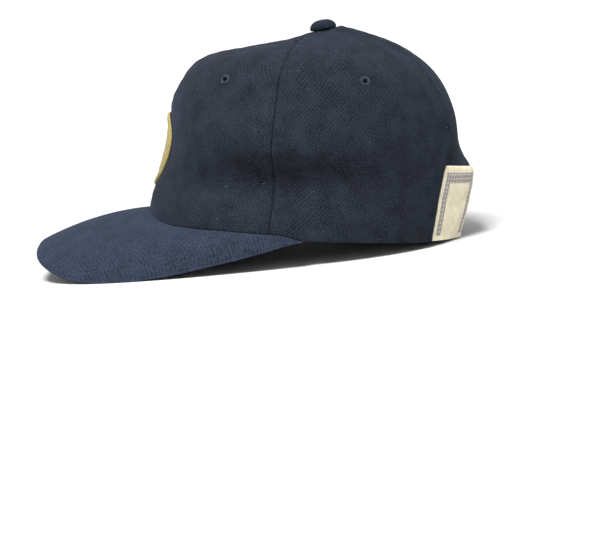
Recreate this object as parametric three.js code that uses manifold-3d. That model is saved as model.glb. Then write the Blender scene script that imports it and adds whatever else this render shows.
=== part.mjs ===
// A wool baseball cap with a long curved peak: four crown panels, a narrow back panel lapped under
// them, a peak, a covered button, four sewn eyelets, a round felt patch and a woven label.
//
// Lengths are millimetres and angles degrees. The cap is drawn in its own frame first: the front is
// -Y, the wearer's left is +X, up is +Z, and the rim of the crown lies in the plane z = 0. "Turn" is
// the bearing round the crown, 0 at the front centre, 90 at the wearer's left, 180 at the back.
// The finished cap is then pitched nose-up until it rests on the sides of the peak and the back of
// the rim, as it does on a table.

import * as THREE from 'three';
import { mergeVertices } from 'three/addons/utils/BufferGeometryUtils.js';
import Module from 'manifold-3d';

// Driving dimensions of the crown
const rimLength = 207.6;
const rimWidth = 170.2;
const crownHeight = 128;
const apexSetback = 8;
const wall = 1.6;

// Driving dimensions of the peak
const peakLength = 72;
const peakWidth = 174;
const peakThickness = 3;
const peakDrop = 32;
const peakLift = 7.1;
const peakCamber = 4;
const peakEndTurn = 90;
const peakTaperTurn = 82;
const peakEndThickness = 1.2;
const peakTuck = wall + 1;
const peakEdgeRounding = 0.3;

// Driving dimensions of the trims
const buttonDiameter = 17;
const buttonHeight = 6.4;
const buttonForward = 1.5;
const apexHoleRadius = 3;
const eyeletDiameter = 7.6;
const eyeletBore = 3;
const eyeletNeck = 0.6;
const patchDiameter = 48;
const patchThickness = 1.7;
const patchCentreHeight = 45.44;
const labelWidth = 41;
const labelHeight = 45;
const labelTopDrop = 2.2;
const labelThickness = 1;
const labelSetback = 1.2;
const gussetLap = 8;

// Clearances between pieces, and how far the soft rim flattens where it rests
const gap = 0.3;
const hemGap = 0.4;
const lapGap = 0.45;
const labelGap = 0.6;
const restSink = 0.6;

// Behind the peak the lower edge of the crown comes down to the rim, between these degrees past its end
const hemStepStart = 0.5;
const hemStepEnd = 2;

// How finely the pieces are divided
const crownRows = 18;
const frontColumns = 14;
const sideColumnsAhead = 3;
const sideColumnsBehind = 10;
const gussetColumns = 16;
const labelColumns = 12;
const labelRows = 10;
const peakColumns = 40;
const eyeletSides = 12;
const buttonSides = 20;
const patchSides = 30;

// Tables are lists of rows under named columns, and each column reads as an array
const table = (columns, rows) =>
  Object.fromEntries(columns.map((name, index) => [name, rows.map((row) => row[index])]));

// Crown profiles and seams, in even levels from the rim up to the apex: reach is the share of the
// way from the apex out to the rim, rise the share of the crown height, and seam the turn of a seam.
const profile = table(
  ['frontReach', 'frontRise', 'sideReach', 'sideRise', 'backReach', 'backRise', 'sideSeam', 'rearSeam'],
  [
    [1.000, 0.000, 1.000, 0.000, 0.985, -0.026, 78.5, 141.5],
    [0.992, 0.078, 0.992, 0.086, 0.980, 0.060, 78.5, 142.9],
    [0.974, 0.148, 0.976, 0.172, 0.975, 0.152, 78.4, 144.4],
    [0.949, 0.211, 0.962, 0.258, 0.970, 0.244, 78.2, 146.1],
    [0.920, 0.297, 0.950, 0.344, 0.966, 0.328, 78.0, 148.4],
    [0.893, 0.398, 0.938, 0.430, 0.960, 0.398, 77.8, 153.0],
    [0.886, 0.484, 0.918, 0.516, 0.943, 0.484, 77.6, 158.0],
    [0.892, 0.563, 0.883, 0.602, 0.926, 0.566, 77.3, 160.0],
    [0.880, 0.629, 0.838, 0.684, 0.885, 0.645, 76.9, 160.8],
    [0.845, 0.684, 0.790, 0.758, 0.833, 0.724, 76.3, 160.5],
    [0.797, 0.758, 0.715, 0.828, 0.762, 0.801, 75.6, 160.0],
    [0.742, 0.809, 0.585, 0.882, 0.662, 0.869, 74.3, 160.2],
    [0.637, 0.852, 0.450, 0.917, 0.548, 0.917, 71.0, 160.5],
    [0.480, 0.881, 0.310, 0.942, 0.420, 0.951, 65.5, 161.0],
    [0.327, 0.899, 0.190, 0.962, 0.273, 0.980, 60.0, 161.5],
    [0.178, 0.937, 0.100, 0.977, 0.165, 1.000, 54.0, 162.0],
    [0.075, 0.974, 0.050, 0.986, 0.070, 1.002, 50.0, 162.0],
    [0.000, 0.990, 0.000, 0.990, 0.000, 0.990, 50.0, 162.0],
  ],
);

// The back swells out over the label: extra reach at each share of the crown height
const swell = table(
  ['rise', 'reach'],
  [
    [0.00, 0.011],
    [0.08, 0.038],
    [0.16, 0.062],
    [0.24, 0.078],
    [0.30, 0.083],
    [0.34, 0.062],
    [0.38, 0.028],
    [0.42, 0.008],
    [0.46, 0.000],
    [1.10, 0.000],
  ],
);
const swellStartTurn = 135;
const swellFullTurn = 172;

// Dents of the soft crown: width and depth are shares of the rim's length, height and tallness
// shares of the crown height. Turns below zero are on the wearer's right, and a depth below zero is a
// bulge.
const dents = table(
  ['turn', 'height', 'width', 'tallness', 'depth'],
  [
    [82, 0.28, 0.190, 0.100, 0.033],
    [82, 0.16, 0.200, 0.140, 0.021],
    [80, 0.45, 0.240, 0.120, -0.014],
    [52, 0.24, 0.130, 0.100, 0.020],
    [131, 0.34, 0.080, 0.160, 0.010],
    [-84, 0.30, 0.200, 0.120, 0.012],
    [-130, 0.36, 0.090, 0.150, 0.008],
  ],
);

// The peak's outer edge drops as a share of peakDrop and its inner edge lifts as a share of
// peakLift, at each bearing from the front centre
const peakEdge = table(
  ['bearing', 'outerDrop', 'innerLift'],
  [
    [0, 0.58, 0.95],
    [15, 0.80, 0.62],
    [30, 0.98, 0.25],
    [45, 1.00, 0.28],
    [60, 0.78, 0.38],
    [75, 0.40, 0.37],
    [90, 0.00, 0.35],
  ],
);
const peakOutlinePower = 0.56;

const rad = THREE.MathUtils.degToRad;
const deg = THREE.MathUtils.radToDeg;
const last = (list) => list[list.length - 1];

// Smooth curve through evenly spaced values, with x from 0 to 1
function through(values, x) {
  const spans = values.length - 1;
  const place = THREE.MathUtils.clamp(x, 0, 1) * spans;
  const index = Math.min(Math.floor(place), spans - 1);
  const at = (i) => values[THREE.MathUtils.clamp(i, 0, spans)];
  const [a, b, c, d] = [at(index - 1), at(index), at(index + 1), at(index + 2)];
  const u = place - index;
  const [linear, square, cube] = [c - a, 2 * a - 5 * b + 4 * c - d, 3 * b - a - 3 * c + d];
  return 0.5 * (2 * b + linear * u + square * u ** 2 + cube * u ** 3);
}

// Rounder curve near evenly spaced values, through the first and last, with x from 0 to 1
function smoothly(values, x) {
  const spans = values.length - 1;
  const place = THREE.MathUtils.clamp(x, 0, 1) * spans;
  const index = Math.min(Math.floor(place), spans - 1);
  const [b, c] = [values[index], values[index + 1]];
  const a = index > 0 ? values[index - 1] : 2 * b - c;
  const d = index < spans - 1 ? values[index + 2] : 2 * c - b;
  const u = place - index;
  const [linear, square, cube] = [3 * (c - a), 3 * (a - 2 * b + c), d - 3 * c + 3 * b - a];
  return (a + 4 * b + c + linear * u + square * u ** 2 + cube * u ** 3) / 6;
}

// Straight interpolation in a table between unevenly spaced keys
function between(keys, values, x) {
  if (x <= keys[0]) return values[0];
  const i = keys.findIndex((key) => key >= x);
  if (i < 0) return last(values);
  const share = (x - keys[i - 1]) / (keys[i] - keys[i - 1]);
  return values[i - 1] + share * (values[i] - values[i - 1]);
}

// The place between low and high where a rising function passes the target
function solve(rising, target, low, high) {
  for (let step = 0; step < 40; step += 1) {
    const middle = (low + high) / 2;
    if (rising(middle) < target) low = middle;
    else high = middle;
  }
  return (low + high) / 2;
}

// Bearing from the front centre, -180 to 180, for any turn
const bearingOf = (turn) => turn - 360 * Math.round(turn / 360);

const apex = new THREE.Vector2(0, apexSetback);

function rimPoint(turn) {
  return new THREE.Vector2(
    (rimWidth / 2) * Math.sin(rad(turn)),
    (-rimLength / 2) * Math.cos(rad(turn)),
  );
}

// How slowly the front profile gives way to the side's
const frontSpread = 1.3;

// The crown's outer surface before its dents. Level runs from 0 at the rim to 1 at the apex.
function smoothCrown(turn, level) {
  const bearing = Math.abs(bearingOf(turn));
  const sideSeam = profile.sideSeam[0];
  const forward = Math.min(bearing / sideSeam, 1) ** frontSpread;
  const backward = Math.max((bearing - sideSeam) / (180 - sideSeam), 0);
  const front = Math.cos((Math.PI / 2) * forward) ** 2;
  const back = Math.sin((Math.PI / 2) * backward) ** 2;
  const side = 1 - front - back;
  const blend = (name) =>
    front * smoothly(profile[`front${name}`], level) +
    side * smoothly(profile[`side${name}`], level) +
    back * smoothly(profile[`back${name}`], level);
  const rise = blend('Rise');
  const swelling = THREE.MathUtils.smoothstep(bearing, swellStartTurn, swellFullTurn);
  const reach = blend('Reach') + swelling * between(swell.rise, swell.reach, rise);
  const plan = apex.clone().lerp(rimPoint(turn), reach);
  return new THREE.Vector3(plan.x, plan.y, rise * crownHeight);
}

// Small steps in turn and level, for the slope of the crown before and after its dents
const smoothStepTurn = 1;
const smoothStepLevel = 0.01;
const crownStepTurn = 0.8;
const crownStepLevel = 0.006;
const highestSlopeLevel = 0.97;

// Unit normal of a surface given by two parameters, from small steps either side
function normalOf(surface, u, v, stepU, stepV) {
  const alongU = surface(u + stepU, v).sub(surface(u - stepU, v));
  const alongV = surface(u, Math.min(v + stepV, 1)).sub(surface(u, Math.max(v - stepV, 0)));
  return alongU.cross(alongV).normalize();
}

function dentDepth(point) {
  const bearing = deg(Math.atan2(point.x / rimWidth, -point.y / rimLength));
  let depth = 0;
  dents.turn.forEach((turn, i) => {
    const across = (rad(bearingOf(bearing - turn)) * rimWidth) / 2 / (dents.width[i] * rimLength);
    const up = (point.z / crownHeight - dents.height[i]) / dents.tallness[i];
    depth += dents.depth[i] * rimLength * Math.exp(-(across ** 2) - up ** 2);
  });
  return depth;
}

// The crown's outer surface, with its dents
function crownSurface(turn, level) {
  const point = smoothCrown(turn, level);
  const slopeLevel = Math.min(level, highestSlopeLevel);
  const outward = normalOf(smoothCrown, turn, slopeLevel, smoothStepTurn, smoothStepLevel);
  return point.addScaledVector(outward, -dentDepth(point));
}

const crownNormal = (turn, level) => normalOf(crownSurface, turn, level, crownStepTurn, crownStepLevel);

function crownOffset(turn, level, offset) {
  return crownSurface(turn, level).addScaledVector(crownNormal(turn, level), offset);
}

const levelAtHeight = (turn, height) => solve((level) => crownSurface(turn, level).z, height, 0, 0.9);

// Level at the edge of the small hole under the button, where all panels stop
function apexDistance(turn, level) {
  const point = crownSurface(turn, level);
  return Math.hypot(point.x - apex.x, point.y - apex.y);
}
const levelAtDistance = (turn, distance) =>
  solve((level) => -apexDistance(turn, level), -distance, 0.5, 0.999);
const apexLevel = (turn) => levelAtDistance(turn, apexHoleRadius);

// The two ends of the peak thin out and sink to the rim
const peakTaper = (bearing) => THREE.MathUtils.smoothstep(Math.abs(bearing), peakTaperTurn, peakEndTurn);

// Top of the peak along the rim, where the crown sits on it
function peakTopAtRim(bearing) {
  const lift = peakLift * through(peakEdge.innerLift, Math.abs(bearing) / last(peakEdge.bearing));
  return lift * (1 - peakTaper(bearing));
}

// Height of the crown's lower edge: it sits on the peak in front, and follows the rim behind it
function hemHeight(turn) {
  const bearing = Math.abs(bearingOf(turn));
  const onPeak = peakTopAtRim(Math.min(bearing, peakEndTurn)) + hemGap;
  const step = (bearing - peakEndTurn - hemStepStart) / (hemStepEnd - hemStepStart);
  return THREE.MathUtils.lerp(onPeak, crownSurface(turn, 0).z, THREE.MathUtils.clamp(step, 0, 1));
}

// Upper face of the peak, from the rim at share 0 to its outer edge at share 1. A share below zero
// is a length tucked inside the rim.
function peakPoint(bearing, share) {
  const turn = (bearing / 90) * peakEndTurn;
  const inner = rimPoint(turn);
  const endY = rimPoint(peakEndTurn).y;
  const [across, along] = [Math.abs(Math.sin(rad(bearing))), Math.cos(rad(bearing))];
  const outer = new THREE.Vector2(
    (Math.sign(bearing) * peakWidth * across ** peakOutlinePower) / 2,
    endY - (rimLength / 2 + endY + peakLength) * along,
  );
  const edgeShare = Math.abs(bearing) / last(peakEdge.bearing);
  const low = -peakDrop * through(peakEdge.outerDrop, edgeShare);
  const high = peakTopAtRim(bearing);
  if (share < 0) {
    const tucked = inner.clone().setLength(inner.length() + share);
    return new THREE.Vector3(tucked.x, tucked.y, high);
  }
  const plan = inner.clone().lerp(outer, share);
  const camber = peakCamber * 4 * share * (1 - share) * along;
  return new THREE.Vector3(plan.x, plan.y, high + (low - high) * share + camber);
}

// Upper and lower face of the peak at a place, with its outer edge rounded off
function peakFaces(bearing, share) {
  const upper = peakPoint(bearing, share);
  const lower = upper.clone();
  const thickness = THREE.MathUtils.lerp(peakThickness, peakEndThickness, peakTaper(bearing));
  const rounding = share === 1 ? thickness * peakEdgeRounding : 0;
  upper.z -= rounding;
  lower.z -= thickness - rounding;
  return [upper, lower];
}

// Rest pose: the pitch that puts the sides of the peak and the back of the rim on one plane

const lowestAfter = (points, pitch) =>
  Math.min(...points.map((point) => point.z * Math.cos(pitch) - point.y * Math.sin(pitch)));

const peakShares = [-peakTuck, 0, 0.08, 0.25, 0.45, 0.65, 0.85, 0.97, 1];
const peakUnderside = [];
for (let bearing = 0; bearing <= 90; bearing += 2) {
  peakUnderside.push(...peakShares.map((share) => peakFaces(bearing, share)[1]));
}
const backRim = [];
for (let turn = 140; turn <= 180; turn += 4) {
  backRim.push(crownOffset(turn, 0, -wall - lapGap));
}
const restPitch = solve(
  (pitch) => lowestAfter(peakUnderside, pitch) - lowestAfter(backRim, pitch),
  0,
  0,
  rad(20),
);
const restLift = -lowestAfter(backRim, restPitch) - restSink;

// Moves a point of the cap's own frame to the rest pose
function toRest(point) {
  point.applyAxisAngle(new THREE.Vector3(1, 0, 0), -restPitch);
  point.z += restLift;
  return point;
}

// Cloth below the surface it rests on is pressed flat
function pressed(point) {
  toRest(point);
  point.z = Math.max(point.z, 0);
  return point;
}

// A closed shell from two grids of points, one for each face of the cloth. Columns run round the
// crown with rising turn and rows run up, so the outer grid faces out. A mirrored shell splits its
// quads along the other diagonal, so that left and right match.
function shellGeometry(outer, inner, mirrored = false) {
  const columns = outer.length;
  const rows = outer[0].length;
  const positions = [...outer.flat(), ...inner.flat()].flatMap((point) => point.toArray());
  const at = (layer, i, j) => layer * columns * rows + i * rows + j;
  const indices = [];
  const quad = (a, b, c, d) => indices.push(...(mirrored ? [a, b, d, b, c, d] : [a, b, c, a, c, d]));
  for (let i = 0; i < columns - 1; i += 1) {
    for (let j = 0; j < rows - 1; j += 1) {
      quad(at(0, i, j), at(0, i + 1, j), at(0, i + 1, j + 1), at(0, i, j + 1));
      quad(at(1, i, j + 1), at(1, i + 1, j + 1), at(1, i + 1, j), at(1, i, j));
    }
    quad(at(1, i, 0), at(1, i + 1, 0), at(0, i + 1, 0), at(0, i, 0));
    quad(at(0, i, rows - 1), at(0, i + 1, rows - 1), at(1, i + 1, rows - 1), at(1, i, rows - 1));
  }
  for (let j = 0; j < rows - 1; j += 1) {
    quad(at(1, 0, j), at(0, 0, j), at(0, 0, j + 1), at(1, 0, j + 1));
    quad(at(0, columns - 1, j), at(1, columns - 1, j), at(1, columns - 1, j + 1), at(0, columns - 1, j + 1));
  }
  const geometry = new THREE.BufferGeometry();
  geometry.setAttribute('position', new THREE.Float32BufferAttribute(positions, 3));
  geometry.setIndex(indices);
  return geometry;
}

// A piece of crown cloth between two seams. Its outer face lies under the crown surface by "depth".
function crownPanel({ turns, rows, startEdge, endEdge, bottom, top, depth, thickness, mirrored }) {
  const outer = [];
  const inner = [];
  for (const share of turns) {
    const turnAt = (level) => THREE.MathUtils.lerp(startEdge(level), endEdge(level), share);
    const lowTurn = turnAt(0);
    const low = bottom(lowTurn);
    const high = top(lowTurn);
    const outerColumn = [];
    const innerColumn = [];
    for (let row = 0; row <= rows; row += 1) {
      const level = THREE.MathUtils.lerp(low, high, row / rows);
      const turn = turnAt(level);
      const face = crownOffset(turn, level, -depth);
      const back = crownOffset(turn, level, -depth - thickness);
      if (row === 0) back.z = face.z;
      outerColumn.push(pressed(face));
      innerColumn.push(pressed(back));
    }
    outer.push(outerColumn);
    inner.push(innerColumn);
  }
  return shellGeometry(outer, inner, mirrored);
}

const evenShares = (count) => Array.from({ length: count + 1 }, (_, i) => i / count);

const sideSeamTurn = (level) => through(profile.sideSeam, level);
const rearSeamTurn = (level) => through(profile.rearSeam, level);

// Half the seam gap, as an angle round the apex. Seams open a little more than the clearance, because
// they run aslant.
const seamOpening = 1.2 * gap;
const highestSeamLevel = 0.98;

function halfGap(turn, level) {
  return deg(seamOpening / 2 / apexDistance(turn, Math.min(level, highestSeamLevel)));
}

const hemLevel = (turn) => levelAtHeight(turn, hemHeight(turn));

// Colours of the pieces
const navyCloth = { color: 0x2a303c, roughness: 0.95, metalness: 0 };
const peakCloth = { color: 0x343c4c, roughness: 0.95, metalness: 0 };
const threadBlue = { color: 0x4a5870, roughness: 0.8, metalness: 0 };
const goldFelt = { color: 0xb9a468, roughness: 1, metalness: 0 };
const creamLabel = { color: 0xe4dcc0, roughness: 0.85, metalness: 0 };

const cap = new THREE.Group();

function addMesh(name, geometry, finish) {
  const mesh = new THREE.Mesh(geometry, new THREE.MeshStandardMaterial(finish));
  mesh.name = name;
  cap.add(mesh);
  return mesh;
}

// Boolean cuts, for the eyelet holes
const wasm = await Module();
wasm.setup();

function toManifold(geometry) {
  const bare = geometry.clone();
  bare.deleteAttribute('normal');
  bare.deleteAttribute('uv');
  const merged = mergeVertices(bare, 1e-4);
  return new wasm.Manifold(
    new wasm.Mesh({
      numProp: 3,
      vertProperties: Float32Array.from(merged.attributes.position.array),
      triVerts: Uint32Array.from(merged.index.array),
    }),
  );
}

function fromManifold(solid) {
  const mesh = solid.getMesh();
  const geometry = new THREE.BufferGeometry();
  geometry.setAttribute('position', new THREE.BufferAttribute(mesh.vertProperties, 3));
  geometry.setIndex(new THREE.BufferAttribute(mesh.triVerts, 1));
  return geometry;
}

// Where each eyelet sits: turn, and height as a share of the crown height
const eyeletPlaces = table(
  ['name', 'turn', 'height'],
  [
    ['eyelet_front_left', 49.3, 0.745],
    ['eyelet_side_left', 114.3, 0.763],
    ['eyelet_front_right', -49.3, 0.745],
    ['eyelet_side_right', -114.3, 0.763],
  ],
);

// Puts a mesh that was drawn round +Z onto the crown, facing out
function placeOnCrown(object, turn, height) {
  const level = levelAtHeight(turn, height * crownHeight);
  const outward = crownNormal(turn, level).applyAxisAngle(new THREE.Vector3(1, 0, 0), -restPitch);
  object.position.copy(toRest(crownSurface(turn, level)));
  object.quaternion.setFromUnitVectors(new THREE.Vector3(0, 0, 1), outward);
  object.updateMatrix();
}

function eyeletGeometry() {
  const bore = eyeletBore / 2;
  const outer = eyeletDiameter / 2;
  const neck = bore + eyeletNeck;
  const section = [
    [bore, -wall],
    [neck, -wall],
    [neck, lapGap],
    [outer - 0.2, lapGap],
    [outer, lapGap + 0.35],
    [outer - 0.6, lapGap + 0.8],
    [neck, lapGap + 0.9],
    [bore, lapGap + 0.5],
    [bore, -wall],
  ];
  const points = section.map(([radius, height]) => new THREE.Vector2(radius, height));
  return new THREE.LatheGeometry(points, eyeletSides).rotateX(Math.PI / 2);
}

function withEyeletHole(geometry, name) {
  const place = eyeletPlaces.name.indexOf(name);
  const holeRadius = eyeletBore / 2 + eyeletNeck + gap;
  const cylinder = new THREE.CylinderGeometry(holeRadius, holeRadius, wall * 5, eyeletSides);
  const drill = new THREE.Mesh(cylinder.rotateX(Math.PI / 2));
  placeOnCrown(drill, eyeletPlaces.turn[place], eyeletPlaces.height[place]);
  const cutter = drill.geometry.clone().applyMatrix4(drill.matrix);
  return fromManifold(toManifold(geometry).subtract(toManifold(cutter)));
}

// Front panels, from the side seam to the front centre seam on each side
const frontPanel = {
  turns: evenShares(frontColumns),
  rows: crownRows,
  bottom: hemLevel,
  top: apexLevel,
  depth: 0,
  thickness: wall,
};

function addFrontPanels() {
  const leftSide = crownPanel({
    ...frontPanel,
    startEdge: (level) => halfGap(0, level),
    endEdge: (level) => sideSeamTurn(level) - halfGap(sideSeamTurn(level), level),
  });
  const rightSide = crownPanel({
    ...frontPanel,
    mirrored: true,
    startEdge: (level) => -sideSeamTurn(level) + halfGap(sideSeamTurn(level), level),
    endEdge: (level) => -halfGap(0, level),
  });
  addMesh('panel_front_left', withEyeletHole(leftSide, 'eyelet_front_left'), navyCloth);
  addMesh('panel_front_right', withEyeletHole(rightSide, 'eyelet_front_right'), navyCloth);
}

// Side panels, from the side seam back to the rear seam. Columns are packed at the end of the peak,
// where the lower edge steps down.
function sidePanelShares() {
  const span = rearSeamTurn(0) - sideSeamTurn(0);
  const shareAt = (turn) => (turn - sideSeamTurn(0)) / span;
  const stepStart = shareAt(peakEndTurn + hemStepStart);
  const stepEnd = shareAt(peakEndTurn + hemStepEnd);
  const ahead = evenShares(sideColumnsAhead).map((share) => share * stepStart);
  const behind = evenShares(sideColumnsBehind).map((share) => stepEnd + share * (1 - stepEnd));
  return [...ahead, ...behind];
}

function addSidePanels() {
  const shares = sidePanelShares();
  const shared = { rows: crownRows, bottom: hemLevel, top: apexLevel, depth: 0, thickness: wall };
  const leftSide = crownPanel({
    ...shared,
    turns: shares,
    startEdge: (level) => sideSeamTurn(level) + halfGap(sideSeamTurn(level), level),
    endEdge: rearSeamTurn,
  });
  const rightSide = crownPanel({
    ...shared,
    mirrored: true,
    turns: shares.map((share) => 1 - share).reverse(),
    startEdge: (level) => -rearSeamTurn(level),
    endEdge: (level) => -sideSeamTurn(level) - halfGap(sideSeamTurn(level), level),
  });
  addMesh('panel_side_left', withEyeletHole(leftSide, 'eyelet_side_left'), navyCloth);
  addMesh('panel_side_right', withEyeletHole(rightSide, 'eyelet_side_right'), navyCloth);
}

// Back panel, lapped under the rear edges of the side panels
const lapAngle = deg(gussetLap / (rimLength / 2));

function addBackGusset() {
  const geometry = crownPanel({
    turns: evenShares(gussetColumns),
    rows: crownRows,
    startEdge: (level) => rearSeamTurn(level) - lapAngle,
    endEdge: (level) => 360 - rearSeamTurn(level) + lapAngle,
    bottom: () => 0,
    top: apexLevel,
    depth: wall + lapGap,
    thickness: wall,
  });
  addMesh('back_gusset', geometry, navyCloth);
}

// Peak: ruled from the rim to its drooping outer edge, with a softened outer edge
function addBrim() {
  const top = [];
  const under = [];
  for (let column = 0; column <= peakColumns; column += 1) {
    const bearing = 90 * ((2 * column) / peakColumns - 1);
    const faces = peakShares.map((share) => peakFaces(bearing, share)).reverse();
    top.push(faces.map(([upper]) => pressed(upper)));
    under.push(faces.map(([, lower]) => pressed(lower)));
  }
  addMesh('brim', shellGeometry(top, under), peakCloth);
}

// Button: a covered dome with a hollowed underside, tilted with the top of the crown
function addTopButton() {
  const radius = buttonDiameter / 2;
  const section = [
    [0, 0.12],
    [0.75 * radius, 0.06],
    [0.96 * radius, 0],
    [radius, 0.2],
    [0.94 * radius, 0.45],
    [0.76 * radius, 0.72],
    [0.47 * radius, 0.92],
    [0, 1],
  ];
  const points = section.map(([distance, share]) => new THREE.Vector2(distance, share * buttonHeight));
  const dome = new THREE.LatheGeometry(points, buttonSides).rotateX(Math.PI / 2);
  const button = addMesh('top_button', dome, navyCloth);
  const seat = (turn) => crownSurface(turn, levelAtDistance(turn, radius));
  const [ahead, behind, beside] = [seat(0), seat(180), seat(90)];
  const slope = Math.atan2(behind.z - ahead.z, behind.y - ahead.y);
  const seatHeight = Math.max((ahead.z + behind.z) / 2, beside.z);
  const height = seatHeight + lapGap - buttonForward * Math.tan(slope);
  button.position.copy(toRest(new THREE.Vector3(0, apexSetback - buttonForward, height)));
  button.rotation.x = slope - restPitch;
}

function addEyelets() {
  eyeletPlaces.name.forEach((name, i) => {
    const eyelet = addMesh(name, eyeletGeometry(), threadBlue);
    placeOnCrown(eyelet, eyeletPlaces.turn[i], eyeletPlaces.height[i]);
  });
}

// Patch: a felt disc over the front seam, with a raised rim. Rings and their thickness are shares.
const patchRings = table(
  ['radius', 'thickness'],
  [
    [0.30, 0.80],
    [0.60, 0.80],
    [0.82, 0.80],
    [0.86, 1.00],
    [0.95, 1.00],
    [1.00, 0.60],
  ],
);

function addFrontPatch() {
  const positions = [];
  const indices = [];
  const placeAt = (radius, angle, offset) => {
    const across = Math.sin(angle) * radius;
    const height = patchCentreHeight + Math.cos(angle) * radius;
    const level = levelAtHeight(0, height);
    const reach = between(profile.frontRise, profile.frontReach, height / crownHeight);
    const turn = deg(across / ((rimWidth / 2) * reach));
    return toRest(crownOffset(turn, level, offset)).toArray();
  };
  const layer = (sign) => {
    const offsetOf = (share) => (sign > 0 ? lapGap + patchThickness * share : lapGap);
    const centre = positions.push(placeAt(0, 0, offsetOf(patchRings.thickness[0]))) - 1;
    const rings = patchRings.radius.map((share, ring) =>
      Array.from({ length: patchSides }, (_, side) => {
        const angle = (2 * Math.PI * side) / patchSides;
        const offset = offsetOf(patchRings.thickness[ring]);
        return positions.push(placeAt((share * patchDiameter) / 2, angle, offset)) - 1;
      }),
    );
    for (let side = 0; side < patchSides; side += 1) {
      const next = (side + 1) % patchSides;
      const fan = [centre, rings[0][next], rings[0][side]];
      indices.push(...(sign > 0 ? fan : fan.reverse()));
      for (let ring = 1; ring < rings.length; ring += 1) {
        const face = [rings[ring - 1][side], rings[ring - 1][next], rings[ring][next], rings[ring][side]];
        if (sign < 0) face.reverse();
        indices.push(face[0], face[1], face[2], face[0], face[2], face[3]);
      }
    }
    return last(rings);
  };
  const [frontEdge, backEdge] = [layer(1), layer(-1)];
  for (let side = 0; side < patchSides; side += 1) {
    const next = (side + 1) % patchSides;
    indices.push(frontEdge[side], frontEdge[next], backEdge[next]);
    indices.push(frontEdge[side], backEdge[next], backEdge[side]);
  }
  const geometry = new THREE.BufferGeometry();
  geometry.setAttribute('position', new THREE.Float32BufferAttribute(positions.flat(), 3));
  geometry.setIndex(indices);
  addMesh('front_patch', geometry, goldFelt);
}

// Label: woven tape laid on the back panel, beside the rear edge of the left side panel. Its top edge
// is square to that slanting edge, so it drops towards the back.
function addBackLabel() {
  const bottomLevel = 0.004;
  const middleTurn = 160;
  const start = (level) => rearSeamTurn(level) + deg(labelSetback / (rimWidth / 2));
  const widthAngle = deg(labelWidth / ((rimWidth + rimLength) / 4));
  const topLevel = (turn) => {
    const share = (turn - start(0)) / widthAngle;
    return levelAtHeight(middleTurn, labelHeight - labelTopDrop * share);
  };
  const geometry = crownPanel({
    turns: evenShares(labelColumns),
    rows: labelRows,
    startEdge: start,
    endEdge: (level) => start(level) + widthAngle,
    bottom: () => bottomLevel,
    top: topLevel,
    depth: wall + lapGap - labelGap - labelThickness,
    thickness: labelThickness,
  });
  addMesh('back_label', geometry, creamLabel);
}

addFrontPanels();
addSidePanels();
addBackGusset();
addBrim();
addTopButton();
addEyelets();
addFrontPatch();
addBackLabel();

// The origin is on the surface the cap rests on, under the middle of its outline
const extent = new THREE.Box3().setFromObject(cap, true);
cap.position.x = -(extent.min.x + extent.max.x) / 2;
cap.position.y = -(extent.min.y + extent.max.y) / 2;

export default cap;
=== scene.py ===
# Looks of a navy wool baseball cap with a long curved peak, at rest on a pale floor.
#
# Lengths are millimetres until a mesh is made. The cap is drawn in its own frame first, as its
# solids are: the front is -Y, the wearer's left is +X, and the rim of the crown lies in z = 0.
# "Turn" is the bearing round the crown, 0 at the front centre, 90 at the wearer's left, 180 at the
# back, and "level" runs from 0 at the rim to 1 at the apex. The cap is then pitched to its rest.

import math

import bmesh
import bpy
import numpy as np
from mathutils import Matrix, Vector


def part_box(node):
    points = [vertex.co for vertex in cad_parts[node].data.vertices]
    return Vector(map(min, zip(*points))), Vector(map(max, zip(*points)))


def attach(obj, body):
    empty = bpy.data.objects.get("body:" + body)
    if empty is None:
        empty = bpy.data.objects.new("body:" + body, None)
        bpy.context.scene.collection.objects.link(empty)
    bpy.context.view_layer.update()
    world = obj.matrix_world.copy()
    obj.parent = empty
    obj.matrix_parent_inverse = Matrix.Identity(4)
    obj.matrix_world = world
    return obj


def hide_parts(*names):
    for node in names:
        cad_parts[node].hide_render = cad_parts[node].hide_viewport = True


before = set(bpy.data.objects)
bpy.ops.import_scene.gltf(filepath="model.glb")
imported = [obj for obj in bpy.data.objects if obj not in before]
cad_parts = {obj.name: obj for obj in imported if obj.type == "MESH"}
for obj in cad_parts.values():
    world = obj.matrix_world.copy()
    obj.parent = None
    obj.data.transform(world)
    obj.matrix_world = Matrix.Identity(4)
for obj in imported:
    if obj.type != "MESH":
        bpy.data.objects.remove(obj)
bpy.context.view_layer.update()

MM = 0.001

# Sizes of the crown
RIM_LENGTH = 207.6
RIM_WIDTH = 170.2
CROWN_HEIGHT = 128
APEX_SETBACK = 8
WALL = 1.6

# Sizes of the peak
PEAK_LENGTH = 72
PEAK_WIDTH = 174
PEAK_THICKNESS = 3
PEAK_DROP = 32
PEAK_LIFT = 7.1
PEAK_CAMBER = 4
PEAK_END_TURN = 90
PEAK_TAPER_TURN = 82
PEAK_END_THICKNESS = 1.2
PEAK_EDGE_ROUNDING = 0.3
PEAK_TUCK = WALL + 1
PEAK_OUTLINE_POWER = 0.56

# Sizes of the trims
BUTTON_DIAMETER = 17
BUTTON_HEIGHT = 6.4
BUTTON_FORWARD = 1.5
APEX_HOLE_RADIUS = 3
PATCH_DIAMETER = 48
PATCH_THICKNESS = 1.7
PATCH_CENTRE_HEIGHT = 45.44
LABEL_WIDTH = 41
LABEL_HEIGHT = 45
LABEL_TOP_DROP = 2.2
LABEL_THICKNESS = 1
LABEL_SETBACK = 1.2
LABEL_GAP = 0.6
GUSSET_LAP = 8
HEM_SEAT = 0.05
HEM_STEP = 1.5
LAP_GAP = 0.45
REST_SINK = 0.6
SEAM_SEAT = 0.02

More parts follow.
